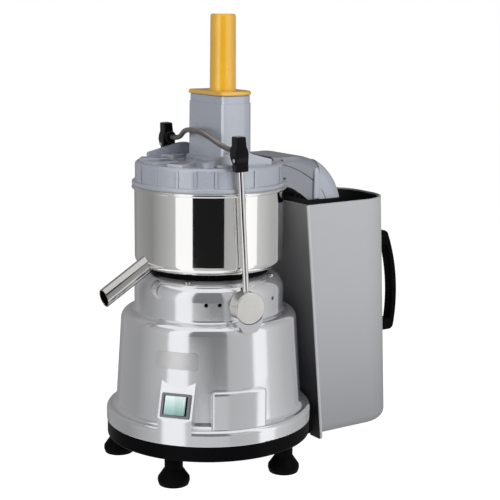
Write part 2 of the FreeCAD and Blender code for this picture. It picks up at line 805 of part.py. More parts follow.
def clamp_knob():
    low, high = KNOB_Z
    grip = turned([(0, low), (KNOB_R - 1.5, low, 1), (KNOB_R, low + 6, 3), (KNOB_R, high - 5, 3),
                   (KNOB_R - 2, high, 2), (0, high)])
    grip.translate(V(0, -ROD_Y, 0))
    hub = rod(V(0, -ROD_Y, BAR_Z), V(0, -ROD_Y + 12, BAR_Z), 6.5)
    flat_end = rod(V(0, -ROD_Y, BAR_Z), V(0, -ROD_Y - KNOB_R - 0.2, BAR_Z), 5)
    body = grip.fuse([hub, flat_end])
    rod_socket = rod(V(0, -ROD_Y, low - 1), V(0, -ROD_Y, low + 12), ROD_R)
    bar_socket = rod(V(0, -ROD_Y + 4, BAR_Z), V(0, -ROD_Y + 20, BAR_Z), BAR_R)
    bolt = rod(V(0, -ROD_Y + 4, BAR_Z), V(0, -ROD_Y - KNOB_R - 1, BAR_Z), 1.8)
    return leaning(cut_all(body, [rod_socket, bar_socket, bolt]))


def knob_bolts():
    return Part.makeCompound(clamp_pair(leaning(knob_bolt_shape())))


def rod_pins():
    return Part.makeCompound(clamp_pair(leaning(rod_pin_shape())))


# Pulp bin

def bin_face_x(z):
    """Where the bin's leaning inner face stands at a height."""
    share = (BIN_RIM_Z - z) / (BIN_RIM_Z - BIN_TIP_Z)
    return BIN_FACE_TOP_X + (BIN_FACE_LOW_X - BIN_FACE_TOP_X) * share


def bin_end_x(z):
    share = (BIN_RIM_Z - z) / (BIN_RIM_Z - BIN_FLOOR_Z)
    return BIN_END_TOP_X + (BIN_END_LOW_X - BIN_END_TOP_X) * share


def bin_outline(z, inset, face_inset):
    """U-shaped plan of the bin at a height: a flat inner face and a rounded outer end."""
    share = (BIN_RIM_Z - z) / (BIN_RIM_Z - BIN_FLOOR_Z)
    near = BIN_FACE_HALF_W[1] + (BIN_FACE_HALF_W[0] - BIN_FACE_HALF_W[1]) * share - inset
    far = BIN_END_HALF_W[1] + (BIN_END_HALF_W[0] - BIN_END_HALF_W[1]) * share - inset
    face = bin_face_x(z) + face_inset
    end = bin_end_x(z) - inset
    corner = 46 - inset
    points = [(face, -near), (end, -far, corner), (end, far, corner), (face, near)]
    return Part.Wire(rounded_edges(points, flat(z)))


def bin_tub(low, high, inset, face_inset):
    wires = [bin_outline(low, inset, face_inset), bin_outline(high, inset, face_inset)]
    return outward(Part.makeLoft(wires, True, True))


def round_floor(tub, radius):
    """Rounds the tub's lower edge, except along its flat inner face."""
    low = tub.BoundBox.ZMin
    edges = []
    for edge in tub.Edges:
        flat_low = abs(edge.BoundBox.ZMin - low) < 0.01 and abs(edge.BoundBox.ZMax - low) < 0.01
        along_face = edge.BoundBox.XLength < 0.01 and edge.BoundBox.XMin < BIN_END_TOP_X - 60
        if flat_low and not along_face:
            edges.append(edge)
    return tub.makeFillet(radius, edges)


def handle_screw_holes(radius):
    return [rod(V(205, 0, z), V(243, 0, z), radius) for z in HANDLE_SCREW_Z]


def bin_shell():
    outside = round_floor(bin_tub(BIN_FLOOR_Z, BIN_RIM_Z, 0, PANEL_T), 12)
    inside = round_floor(bin_tub(BIN_FLOOR_Z + BIN_WALL, BIN_RIM_Z + 5, BIN_WALL, PANEL_T - 2), 9.5)
    return cut_all(outside.cut(inside), handle_screw_holes(2.0))


def bin_liner():
    inset = BIN_WALL + LINER_PLAY
    outside = round_floor(bin_tub(BIN_FLOOR_Z + BIN_WALL, BIN_RIM_Z - 1.5, inset, PANEL_T), 10)
    inner = inset + LINER_T
    inside = round_floor(
        bin_tub(BIN_FLOOR_Z + inner, BIN_RIM_Z + 5, inner, PANEL_T + LINER_T), 8.3)
    return cut_all(outside.cut(inside), handle_screw_holes(2.0))


def bin_back_panel():
    """Flat leaning panel with rounded long edges, notched at its foot to pass the shelf."""
    low = BIN_TIP_Z
    half_low = BIN_FACE_HALF_W[0] + 0.3
    half_high = BIN_FACE_HALF_W[1] + 0.5
    height = BIN_RIM_Z - low
    outline = [(-half_low, low, 6), (half_low, low, 6), (half_high, BIN_RIM_Z), (-half_high, BIN_RIM_Z)]
    face = Part.Face(Part.Wire(rounded_edges(outline, lambda u, v: V(bin_face_x(v), u, v))))
    panel = outward(face.extrude(V(PANEL_T, 0, 0)))
    sides = [edge for edge in panel.Edges if edge.BoundBox.ZLength > height * 0.8]
    fronts = [edge for edge in sides if edge.BoundBox.XMin < BIN_FACE_TOP_X + 1]
    panel = panel.makeFillet(2.4, fronts)
    notch = box((100, 150), (-SHELF_HALF_W - 1.5, SHELF_HALF_W + 1.5), (0, BIN_FLOOR_Z + 0.2))
    return panel.cut(notch)


def bow_plate(low, high, low_x, mid_x, high_x, half_w):
    """Upright plate from inside the bin to a bowed outer edge."""
    bow = Part.Arc(V(low_x, 0, low), V(mid_x, 0, (low + high) / 2), V(high_x, 0, high)).toShape()
    sides = [V(high_x, 0, high), V(205, 0, high), V(205, 0, low), V(low_x, 0, low)]
    edges = [bow] + [Part.LineSegment(start, end).toShape() for start, end in zip(sides, sides[1:])]
    plate = outward(Part.Face(Part.Wire(edges)).extrude(V(0, 2 * half_w, 0)))
    plate.translate(V(0, -half_w, 0))
    return plate


def bin_handle():
    """Bowed grip on two short arms, with rounded corners."""
    low, high = HANDLE_Z
    grip = bow_plate(low, high, HANDLE_X - 3.5, HANDLE_X, HANDLE_X - 16, HANDLE_HALF_W)
    corners = []
    for edge in grip.Edges:
        limits = edge.BoundBox
        if limits.YLength > 10 and limits.ZLength < 0.01 and limits.XMin > 240:
            corners.append(edge)
    grip = grip.makeFillet(7, corners)
    inner_x = HANDLE_X - HANDLE_T
    gap = bow_plate(low + 14, high - 17, inner_x - 1, inner_x, inner_x - 9.7, 20)
    body = grip.cut(gap)
    long_edges = []
    for edge in body.Edges:
        limits = edge.BoundBox
        if limits.YLength < 0.01 and limits.XMin > 236 and limits.ZLength > 60:
            long_edges.append(edge)
    body = body.makeFillet(3.4, long_edges)
    body = body.cut(bin_tub(BIN_FLOOR_Z, BIN_RIM_Z, 0, PANEL_T))
    return cut_all(largest(body), handle_screw_holes(2.0))


def handle_screws():
    screws = []
    for z in HANDLE_SCREW_Z:
        wall = bin_end_x(z) - BIN_WALL - LINER_PLAY - LINER_T
        shank = rod(V(wall, 0, z), V(243, 0, z), 2.0)
        head = rod(V(wall - 2.9, 0, z), V(wall - 0.5, 0, z), 4.0)
        screws.append(head.fuse([shank, rod(V(wall - 1, 0, z), V(wall + 1, 0, z), 2.0)]))
    return Part.makeCompound(screws)


def bin_shelf():
    """Bent strip under the pan that carries the bin."""
    top = BIN_FLOOR_Z - 0.3
    sheet = 3.5
    strip = side_plate([
        (60, PAN_Z), (60, PAN_Z - sheet), (104, PAN_Z - sheet, 4), (112, top - sheet, 4), (205, top - sheet),
        (205, top), (113.5, top, 4), (105.5, PAN_Z, 4)], -SHELF_HALF_W, SHELF_HALF_W)
    holes = [Part.makeCylinder(2.5, 20, V(x, 0, PAN_Z - 10)) for x in SHELF_SCREW_X]
    return cut_all(strip, holes)


def bin_shelf_screws():
    screws = []
    for x in SHELF_SCREW_X:
        head = Part.makeCylinder(4.5, 3, V(x, 0, PAN_Z - 6.5))
        shank = Part.makeCylinder(2.5, 12, V(x, 0, PAN_Z - 3.5))
        screws.append(head.fuse(shank))
    return Part.makeCompound(screws)


SHELF_SCREW_X = [74.0, 92.0]
HANDLE_SCREW_Z = [HANDLE_Z[0] + 8.0, HANDLE_Z[1] - 8.0]

SINGLE_PIECES = [
    base_casting, gasket_screws, name_plate, base_pan, feet, foot_screws, cord_gland,
    switch_housing, switch_rocker,
    motor_stator, motor_top_shield, motor_bottom_shield, top_bearing, bottom_bearing, motor_bolts,
    capacitor, motor_shaft, rotor_core, cooling_fan, shaft_seal,
    bowl_gasket, juice_bowl, juice_spout, drive_hub, filter_basket, grater_disc, basket_nut,
    lid, lid_seal, feed_tube, pusher_handle, pusher_block, chute, chute_hood,
    clamp_pivot_pins, clamp_bar, knob_bolts, rod_pins,
    bin_shell, bin_liner, bin_back_panel, bin_handle, handle_screws, bin_shelf, bin_shelf_screws]
PAIRED_PIECES = [clamp_disc, clamp_rod, clamp_knob]


def main():
    os.makedirs("parts", exist_ok=True)
    nodes = {}
    for piece in SINGLE_PIECES:
        nodes[piece.__name__] = piece()
    for piece in PAIRED_PIECES:
        front, rear = clamp_pair(piece())
        nodes[piece.__name__ + "_front"] = front
        nodes[piece.__name__ + "_rear"] = rear
    for name, shape in nodes.items():
        shape.exportStep("parts/" + name + ".step")
        print(name, len(shape.Solids), round(shape.Volume / 1000, 2), shape.isValid())


main()
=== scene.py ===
# %% [markdown]
# # A bar juicer, dressed for its portrait
# The machine arrives as a set of separate solids in metres: a cast base, a steel bowl, a lid with a feed
# tube, a swing clamp and a pulp bin. This lesson gives every surface its finish, models the pieces whose
# shape asks for more than a plain solid, and sets up a small white studio around it.

# %% Load the solids
import bmesh
import bpy
import math
from mathutils import Matrix, Vector


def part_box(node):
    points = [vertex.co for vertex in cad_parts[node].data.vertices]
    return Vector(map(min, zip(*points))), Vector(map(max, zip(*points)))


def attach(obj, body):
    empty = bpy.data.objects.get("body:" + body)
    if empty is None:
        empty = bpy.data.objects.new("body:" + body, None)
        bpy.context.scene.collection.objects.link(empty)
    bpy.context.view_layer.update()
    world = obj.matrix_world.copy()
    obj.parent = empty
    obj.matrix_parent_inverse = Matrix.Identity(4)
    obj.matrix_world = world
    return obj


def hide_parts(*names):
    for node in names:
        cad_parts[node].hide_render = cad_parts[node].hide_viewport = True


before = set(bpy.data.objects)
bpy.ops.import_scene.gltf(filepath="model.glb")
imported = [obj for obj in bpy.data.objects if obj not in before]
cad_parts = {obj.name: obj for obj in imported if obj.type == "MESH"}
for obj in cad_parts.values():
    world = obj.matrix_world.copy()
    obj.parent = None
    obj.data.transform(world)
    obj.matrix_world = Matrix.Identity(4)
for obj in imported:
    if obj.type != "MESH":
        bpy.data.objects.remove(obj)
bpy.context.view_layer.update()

scene = bpy.context.scene
scene.view_settings.view_transform = "Standard"
bpy.ops.object.select_all(action="DESELECT")

# %% [markdown]
# ## The camera
# The picture was taken with a fairly long lens, a little above the bowl, looking down. A camera can be
# aimed with a constraint, but writing its bearing, dip and roll as three named angles keeps the picture's
# straight lines where they were seen.

# %% Camera
VIEW_AZIMUTH = -31.5
VIEW_DISTANCE = 1.400
VIEW_HEIGHT = 0.504
VIEW_DIP = 10.6
VIEW_PAN = 1.86
VIEW_ROLL = 0.5
VIEW_LENS = 92.3
VIEW_NEAREST = 0.05


def turn(degrees, axis):
    return Matrix.Rotation(math.radians(degrees), 4, axis)


def place_camera():
    bpy.ops.object.camera_add()
    camera = bpy.context.object
    camera.name = "portrait_camera"
    bearing = math.radians(VIEW_AZIMUTH)
    spot = Vector((math.sin(bearing), -math.cos(bearing), 0)) * VIEW_DISTANCE
    spot.z = VIEW_HEIGHT
    aim = turn(VIEW_AZIMUTH - VIEW_PAN, "Z") @ turn(90 - VIEW_DIP, "X") @ turn(VIEW_ROLL, "Z")
    camera.matrix_world = Matrix.Translation(spot) @ aim
    camera.data.lens = VIEW_LENS
    camera.data.clip_start = VIEW_NEAREST
    scene.camera = camera
    return camera


print("camera at", [round(v, 3) for v in place_camera().location])

# %% [markdown]
# ## The white studio
# A catalogue picture stands on white. Instead of more light, the world itself is white wherever the camera
# or a reflection looks at it, and a calmer grey for the light it sheds on matt surfaces. That light comes
# mostly from the sides, as from tall windows, so that ledges and recesses seen from above stay darker. The
# floor glows almost white by itself, which leaves it only a trace of shadow. Three soft lamps do the rest.

# %% World
AMBIENT_SIDE = 0.40
AMBIENT_TOP = 0.04
AMBIENT_TOP_FROM = 0.6
SEEN_WHITE = 1.0


def coordinate(tree, kind):
    return tree.nodes.new("ShaderNodeTexCoord").outputs[kind]


def axis_value(tree, vector, axis):
    split = tree.nodes.new("ShaderNodeSeparateXYZ")
    tree.links.new(vector, split.inputs["Vector"])
    return split.outputs[axis]


def map_range(tree, value, low, high):
    """A node that stretches the span from low to high over its own two ends, 0 and 1 at first."""
    node = tree.nodes.new("ShaderNodeMapRange")
    node.inputs["From Min"].default_value = low
    node.inputs["From Max"].default_value = high
    tree.links.new(value, node.inputs["Value"])
    return node


def larger(tree, first, second):
    node = tree.nodes.new("ShaderNodeMath")
    node.operation = "MAXIMUM"
    tree.links.new(first, node.inputs[0])
    tree.links.new(second, node.inputs[1])
    return node.outputs[0]


def studio_world():
    world = bpy.data.worlds.new("white_studio")
    scene.world = world
    world.use_nodes = True
    tree = world.node_tree
    path = tree.nodes.new("ShaderNodeLightPath")
    seen = larger(tree, path.outputs["Is Camera Ray"], path.outputs["Is Glossy Ray"])
    seen = larger(tree, seen, path.outputs["Is Transmission Ray"])
    height = axis_value(tree, coordinate(tree, "Generated"), "Z")
    shed = map_range(tree, height, 0, AMBIENT_TOP_FROM)
    shed.inputs["To Min"].default_value = AMBIENT_SIDE
    shed.inputs["To Max"].default_value = AMBIENT_TOP
    level = map_range(tree, seen, 0, 1)
    level.inputs["To Max"].default_value = SEEN_WHITE
    tree.links.new(shed.outputs["Result"], level.inputs["To Min"])
    background = tree.nodes["Background"]
    background.inputs["Color"].default_value = (1, 1, 1, 1)
    tree.links.new(level.outputs["Result"], background.inputs["Strength"])
    return world


print("world:", studio_world().name)

# %% Floor
FLOOR_SIZE = 6
FLOOR_GREY = (0.24, 0.24, 0.24, 1)
FLOOR_GLOW = 0.985


def make_floor():
    bpy.ops.mesh.primitive_plane_add(size=FLOOR_SIZE)
    floor = bpy.context.object
    floor.name = "studio_floor"
    material = bpy.data.materials.new("floor_white")
    material.use_nodes = True
    shader = material.node_tree.nodes["Principled BSDF"]
    shader.inputs["Base Color"].default_value = FLOOR_GREY
    shader.inputs["Roughness"].default_value = 1.0
    shader.inputs["Specular IOR Level"].default_value = 0.0
    shader.inputs["Emission Color"].default_value = (1, 1, 1, 1)
    shader.inputs["Emission Strength"].default_value = FLOOR_GLOW
    floor.data.materials.append(material)
    floor.visible_diffuse = False
    floor.visible_glossy = False
    return floor


print("floor:", make_floor().name)

# %% Lamps
# Each lamp has a name, its bearing from the camera's, its elevation, distance, width, height and power.
LAMPS = [
    ("key_softbox", 42, 20, 1.6, 0.9, 1.3, 29),
    ("fill_softbox", -50, 18, 1.6, 0.7, 1.3, 21),
    ("top_softbox", 0, 75, 1.5, 1.4, 1.4, 0.5)]
LAMP_AIM = Vector((0, 0, 0.22))


def soft_light(name, offset, elevation, distance, width, height, power):
    bearing = math.radians(VIEW_AZIMUTH + offset)
    lift = math.radians(elevation)
    back = Vector((math.sin(bearing) * math.cos(lift), -math.cos(bearing) * math.cos(lift), math.sin(lift)))
    bpy.ops.object.light_add(type="AREA")
    lamp = bpy.context.object
    lamp.name = name
    lamp.data.shape = "RECTANGLE"
    lamp.data.size = width
    lamp.data.size_y = height
    lamp.data.energy = power
    lamp.location = LAMP_AIM + back * distance
    lamp.rotation_euler = back.to_track_quat("Z", "Y").to_euler()
    lamp.visible_glossy = False


for entry in LAMPS:
    soft_light(*entry)
print("lamps:", len(LAMPS))

# %% [markdown]
# ## Cards for the steel to look at
# A polished bowl has no colour of its own: its bright and dark bands are pictures of the studio. Real
# photographers stand white and black boards around such a pot. Here upright cards on a ring around the
# machine do that work. They show only in reflections, so they neither light nor shade anything.

# %% Reflection cards
CARD_RING = 1.0
CARD_LOW = -0.7
CARD_HIGH = 1.3
CARD_SEAM = 0.05
CARD_FOOT = -0.06
# Each card has a name, a start and an end bearing from the camera's, a brightness at each of these two
# edges, and a low and a high end.
CARDS = [
    ("card_black", -24, 22, 0.012, 0.012, CARD_SEAM, CARD_HIGH),
    ("card_low_fade", -24, 6, 0.55, 0.07, CARD_FOOT, CARD_SEAM),
    ("card_low_dark", 6, 22, 0.07, 0.12, CARD_FOOT, CARD_SEAM),
    ("card_foot", -24, 22, 0.58, 0.52, CARD_LOW, CARD_FOOT),
    ("card_white_left", -50, -24, 1.1, 1.1, CARD_LOW, CARD_HIGH),
    ("card_grey_left", -94, -50, 0.26, 0.54, CARD_LOW, CARD_HIGH),
    ("card_grey_far_left", -140, -94, 0.34, 0.26, CARD_LOW, CARD_HIGH),
    ("card_pale_right", 22, 55, 0.42, 0.50, CARD_LOW, CARD_HIGH),
    ("card_white_right", 55, 75, 1.15, 1.1, CARD_LOW, CARD_HIGH),
    ("card_grey_right", 75, 105, 0.66, 0.46, CARD_LOW, CARD_HIGH),
    ("card_grey_far_right", 105, 140, 0.46, 0.36, CARD_LOW, CARD_HIGH),
    ("card_back_right", 140, 180, 0.30, 0.22, CARD_LOW, CARD_HIGH),
    ("card_back_left", 180, 220, 0.22, 0.30, CARD_LOW, CARD_HIGH)]


def card_material(name, first, last):
    """A glowing board whose brightness runs from one upright edge to the other."""
    made = bpy.data.materials.new(name)
    made.use_nodes = True
    tree = made.node_tree
    tree.nodes.remove(tree.nodes["Principled BSDF"])
    level = map_range(tree, axis_value(tree, coordinate(tree, "UV"), "X"), 0, 1)
    level.inputs["To Min"].default_value = first
    level.inputs["To Max"].default_value = last
    glow = tree.nodes.new("ShaderNodeEmission")
    tree.links.new(level.outputs["Result"], glow.inputs["Strength"])
    tree.links.new(glow.outputs[0], tree.nodes["Material Output"].inputs["Surface"])
    return made


def reflection_card(name, start, end, first, last, low, high):
    middle = math.radians(VIEW_AZIMUTH + (start + end) / 2)
    half = math.radians((end - start) / 2)
    spot = Vector((math.sin(middle), -math.cos(middle), 0)) * CARD_RING * math.cos(half)
    spot.z = (low + high) / 2
    bpy.ops.mesh.primitive_plane_add(size=1)
    card = bpy.context.object
    card.name = name
    card.scale = (2 * CARD_RING * math.sin(half), high - low, 1)
    card.location = spot
    card.rotation_euler = (math.radians(90), 0, middle)
    card.data.materials.append(card_material(name, first, last))
    card.visible_camera = False
    card.visible_diffuse = False
    card.visible_shadow = False
    card.visible_transmission = False


for entry in CARDS:
    reflection_card(*entry)
print("cards:", len(CARDS))

# %% [markdown]
# ## Shared surface effects
# Most finishes here are one plain colour with a little life in it: a fine grain that the light catches, a
# slow drift in tone, and patches where hands have rubbed the gloss. Turned pieces have rings in place of the
# grain. Each of these is a small node group, so every material can take them at its own strength.

# %% Group helpers
FLOAT = "NodeSocketFloat"
COLOUR = "NodeSocketColor"
VECTOR = "NodeSocketVector"
# A Mix node has a row of sockets for each kind of value, so these are taken by number.
MIX_VALUES = (2, 3)
MIX_VALUE_OUT = 0
MIX_COLOURS = (6, 7)
MIX_COLOUR_OUT = 2


def new_group(name, inputs, outputs):
    group = bpy.data.node_groups.new(name, "ShaderNodeTree")
    for label, kind, value in inputs:
        socket = group.interface.new_socket(label, in_out="INPUT", socket_type=kind)
        socket.default_value = value
    for label, kind in outputs:
        group.interface.new_socket(label, in_out="OUTPUT", socket_type=kind)
    entry = group.nodes.new("NodeGroupInput")
    leave = group.nodes.new("NodeGroupOutput")
    return group, entry, leave


def object_noise(group, scale, detail):
    """Noise in the object's own space."""
    noise = group.nodes.new("ShaderNodeTexNoise")
    noise.inputs["Detail"].default_value = detail
    group.links.new(coordinate(group, "Object"), noise.inputs["Vector"])
    group.links.new(scale, noise.inputs["Scale"])
    return noise.outputs["Fac"]


def put_out_bumps(group, entry, leave, height, distance):
    """Puts out a height as a mask and as the normal it gives."""
    bump = group.nodes.new("ShaderNodeBump")
    bump.inputs["Distance"].default_value = distance
    group.links.new(entry.outputs["Depth"], bump.inputs["Strength"])
    group.links.new(height, bump.inputs["Height"])
    group.links.new(height, leave.inputs["Mask"])
    group.links.new(bump.outputs["Normal"], leave.inputs["Normal"])


def colour_mix(tree, factor):
    node = tree.nodes.new("ShaderNodeMix")
    node.data_type = "RGBA"
    tree.links.new(factor, node.inputs["Factor"])
    return node


print("socket kinds:", FLOAT, COLOUR, VECTOR)

# %% Grain, drift and rub
GRAIN_HEIGHT = 0.0004
GRAIN_DETAIL = 3
GRAIN_IN_TONE = 0.3
DRIFT_DETAIL = 2
DRIFT_SPAN = (0.3, 0.7)
RUB_DETAIL = 4
RUB_SPAN = (0.35, 0.65)


def grain_group():
    """Fine bumps: a mask of the grain and the normal it gives."""
    group, entry, leave = new_group(
        "fine_grain", [("Scale", FLOAT, 900), ("Depth", FLOAT, 0.1)], [("Mask", FLOAT), ("Normal", VECTOR)])
    height = object_noise(group, entry.outputs["Scale"], GRAIN_DETAIL)
    put_out_bumps(group, entry, leave, height, GRAIN_HEIGHT)
    return group


def drift_group():
    """A base colour that wanders slowly between two tones, with grain on top."""
    group, entry, leave = new_group(
        "tone_drift",
        [("Light", COLOUR, (0.5, 0.5, 0.5, 1)), ("Dark", COLOUR, (0.4, 0.4, 0.4, 1)),
         ("Scale", FLOAT, 9), ("Grain", FLOAT, GRAIN_IN_TONE), ("Mask", FLOAT, 0.5)],
        [("Colour", COLOUR)])
    slow = object_noise(group, entry.outputs["Scale"], DRIFT_DETAIL)
    blend = group.nodes.new("ShaderNodeMix")
    group.links.new(entry.outputs["Grain"], blend.inputs["Factor"])
    group.links.new(slow, blend.inputs[MIX_VALUES[0]])
    group.links.new(entry.outputs["Mask"], blend.inputs[MIX_VALUES[1]])
    share = map_range(group, blend.outputs[MIX_VALUE_OUT], *DRIFT_SPAN)
    tone = colour_mix(group, share.outputs["Result"])
    group.links.new(entry.outputs["Dark"], tone.inputs[MIX_COLOURS[0]])
    group.links.new(entry.outputs["Light"], tone.inputs[MIX_COLOURS[1]])
    group.links.new(tone.outputs[MIX_COLOUR_OUT], leave.inputs["Colour"])
    return group


def rub_group():
    """Roughness that changes in soft patches, as on a handled or wiped surface."""
    group, entry, leave = new_group(
        "rubbed_gloss", [("Scale", FLOAT, 14), ("Low", FLOAT, 0.2), ("High", FLOAT, 0.3)],
        [("Roughness", FLOAT)])
    patches = object_noise(group, entry.outputs["Scale"], RUB_DETAIL)
    share = map_range(group, patches, *RUB_SPAN)
    group.links.new(entry.outputs["Low"], share.inputs["To Min"])
    group.links.new(entry.outputs["High"], share.inputs["To Max"])
    group.links.new(share.outputs["Result"], leave.inputs["Roughness"])
    return group


GRAIN = grain_group()
DRIFT = drift_group()
RUB = rub_group()
print("groups:", GRAIN.name, DRIFT.name, RUB.name)

# %% Lathe rings
HINGE_Z = 0.196
RING_HEIGHT = 0.0002
RING_WOBBLE = 0.6
RING_DETAIL = 2


def turned_group(name, direction, centre):
    """Rings left by a lathe around one axis."""
    group, entry, leave = new_group(
        name, [("Scale", FLOAT, 400), ("Depth", FLOAT, 0.1)], [("Mask", FLOAT), ("Normal", VECTOR)])
    shift = group.nodes.new("ShaderNodeVectorMath")
    shift.operation = "SUBTRACT"
    shift.inputs[1].default_value = centre
    wave = group.nodes.new("ShaderNodeTexWave")
    wave.wave_type = "RINGS"
    wave.rings_direction = direction
    wave.inputs["Distortion"].default_value = RING_WOBBLE
    wave.inputs["Detail"].default_value = RING_DETAIL
    group.links.new(coordinate(group, "Object"), shift.inputs[0])
    group.links.new(shift.outputs[0], wave.inputs["Vector"])
    group.links.new(entry.outputs["Scale"], wave.inputs["Scale"])
    put_out_bumps(group, entry, leave, wave.outputs["Fac"], RING_HEIGHT)
    return group


SPUN_RINGS = turned_group("spun_rings", "Z", (0, 0, 0))
DISC_RINGS = turned_group("disc_rings", "Y", (0, 0, HINGE_Z))
print("ring groups:", SPUN_RINGS.name, DISC_RINGS.name)

# %% [markdown]
# ## A recipe for most of the finishes
# Paint, plastic, rubber and bare metal differ in colour, in how metallic they are and in how sharply they
# mirror. One function builds them all from those numbers, with the three groups above mixed in, and a second
# one gives the turned pieces their rings.

# %% Finish recipe


def group_node(tree, group, **values):
    node = tree.nodes.new("ShaderNodeGroup")
    node.node_tree = group
    for label, value in values.items():
        node.inputs[label].default_value = value
    return node


def finish(name, light, dark, rough, metallic=0.0, grain=(900, 0.08), drift=9, shine=0.5,
           coat=0.0, coat_ior=1.5, coat_rough=0.08):
    """A material from two tones, a roughness span, a grain of (scale, depth) and a clear coat."""
    made = bpy.data.materials.new(name)
    made.use_nodes = True
    tree = made.node_tree
    shader = tree.nodes["Principled BSDF"]
    shader.inputs["Metallic"].default_value = metallic
    shader.inputs["Specular IOR Level"].default_value = shine
    shader.inputs["Coat Weight"].default_value = coat
    shader.inputs["Coat Roughness"].default_value = coat_rough
    shader.inputs["Coat IOR"].default_value = coat_ior
    bumps = group_node(tree, GRAIN, Scale=grain[0], Depth=grain[1])
    tone = group_node(tree, DRIFT, Light=(*light, 1), Dark=(*dark, 1), Scale=drift, Grain=GRAIN_IN_TONE)
    gloss = group_node(tree, RUB, Low=rough[0], High=rough[1])
    tree.links.new(bumps.outputs["Mask"], tone.inputs["Mask"])
    tree.links.new(tone.outputs["Colour"], shader.inputs["Base Color"])
    tree.links.new(gloss.outputs["Roughness"], shader.inputs["Roughness"])
    tree.links.new(bumps.outputs["Normal"], shader.inputs["Normal"])
    return made


def ringed(made, group, scale, depth):
    """Swaps a finish's grain for lathe rings."""
    tree = made.node_tree
    rings = group_node(tree, group, Scale=scale, Depth=depth)
    tree.links.new(rings.outputs["Normal"], tree.nodes["Principled BSDF"].inputs["Normal"])
    return made


print("recipe:", finish.__name__, "and", ringed.__name__)

# %% Metals
CAST_SILVER = finish(
    "cast_silver_paint", light=(0.76, 0.765, 0.79), dark=(0.70, 0.705, 0.73), rough=(0.10, 0.13),
    metallic=0.82, grain=(2600, 0.04), drift=6, coat=0.6)
BOWL_STEEL = finish(
    "bowl_mirror_steel", light=(0.90, 0.89, 0.88), dark=(0.84, 0.84, 0.83), rough=(0.035, 0.07),
    metallic=1.0)
ringed(BOWL_STEEL, SPUN_RINGS, scale=700, depth=0.02)
SPOUT_STEEL = finish(
    "spout_drawn_steel", light=(0.62, 0.61, 0.59), dark=(0.52, 0.51, 0.50), rough=(0.07, 0.12),
    metallic=1.0, grain=(1500, 0.03), drift=20)
ROD_STEEL = finish(
    "rod_polished_steel", light=(0.88, 0.87, 0.85), dark=(0.80, 0.79, 0.78), rough=(0.06, 0.12),
    metallic=1.0, grain=(1500, 0.03))
BAR_STEEL = finish(
    "bar_satin_steel", light=(0.40, 0.37, 0.33), dark=(0.27, 0.25, 0.23), rough=(0.28, 0.42),
    metallic=1.0, grain=(1800, 0.08), drift=30)
SCREW_STEEL = finish(
    "screw_bright_steel", light=(0.72, 0.71, 0.70), dark=(0.55, 0.54, 0.53), rough=(0.18, 0.30),
    metallic=1.0, grain=(1600, 0.08), drift=60)
DISC_ALUMINIUM = finish(
    "disc_turned_aluminium", light=(0.76, 0.755, 0.73), dark=(0.67, 0.665, 0.64), rough=(0.30, 0.40),
    metallic=0.85, drift=40)
ringed(DISC_ALUMINIUM, DISC_RINGS, scale=260, depth=0.25)
PLATE_ALUMINIUM = finish(
    "plate_satin_aluminium", light=(0.66, 0.66, 0.67), dark=(0.60, 0.60, 0.61), rough=(0.30, 0.38),
    metallic=0.9, grain=(1700, 0.05), drift=40)
IRON = finish(
    "laminated_iron", light=(0.20, 0.20, 0.21), dark=(0.13, 0.13, 0.14), rough=(0.40, 0.55),
    metallic=0.8, grain=(500, 0.2))
STEEL_SHEET = finish(
    "sheet_steel", light=(0.55, 0.55, 0.55), dark=(0.45, 0.45, 0.46), rough=(0.25, 0.38),
    metallic=1.0, grain=(1500, 0.06), drift=20)
print("metals done, materials so far:", len(bpy.data.materials))

# %% Plastics and rubber
LID_GREY = finish(
    "lid_blue_grey_plastic", light=(0.272, 0.290, 0.336), dark=(0.265, 0.283, 0.328), rough=(0.27, 0.285),
    grain=(1500, 0.02), drift=12, coat=0.9, coat_ior=1.85, coat_rough=0.16)
# The chute wears a darker copy of the lid plastic: painted shade on its flank.
CHUTE_SHADE_GREY = finish(
    "chute_painted_shade_plastic", light=(0.140, 0.150, 0.175), dark=(0.135, 0.145, 0.170), rough=(0.27, 0.285),
    grain=(1500, 0.02), drift=12, coat=0.9, coat_ior=1.7, coat_rough=0.16)
PUSHER_YELLOW = finish(
    "pusher_yellow_plastic", light=(0.60, 0.33, 0.014), dark=(0.54, 0.285, 0.011), rough=(0.26, 0.30),
    grain=(1200, 0.02), drift=14, coat=0.9, coat_ior=1.7, coat_rough=0.10)
KNOB_BLACK = finish(
    "knob_gloss_black", light=(0.004, 0.004, 0.005), dark=(0.002, 0.002, 0.003), rough=(0.07, 0.14),
    grain=(1000, 0.03), drift=30, shine=0.16)
PAN_BLACK = finish(
    "pan_black_plastic", light=(0.003, 0.003, 0.0035), dark=(0.0015, 0.0015, 0.002), rough=(0.28, 0.42),
    grain=(1000, 0.12), drift=20, shine=0.03)
RUBBER = finish(
    "black_rubber", light=(0.003, 0.003, 0.003), dark=(0.0015, 0.0015, 0.0015), rough=(0.42, 0.56),
    grain=(700, 0.2), drift=24, shine=0.03)
BIN_BLACK = finish(
    "bin_inner_black", light=(0.020, 0.020, 0.021), dark=(0.013, 0.013, 0.014), rough=(0.30, 0.42),
    grain=(900, 0.1), drift=10, shine=0.15)
SWITCH_GREY = finish(
    "switch_frame_grey", light=(0.115, 0.115, 0.13), dark=(0.090, 0.090, 0.105), rough=(0.30, 0.40),
    grain=(1500, 0.1), drift=40)
print("plastics done, materials so far:", len(bpy.data.materials))
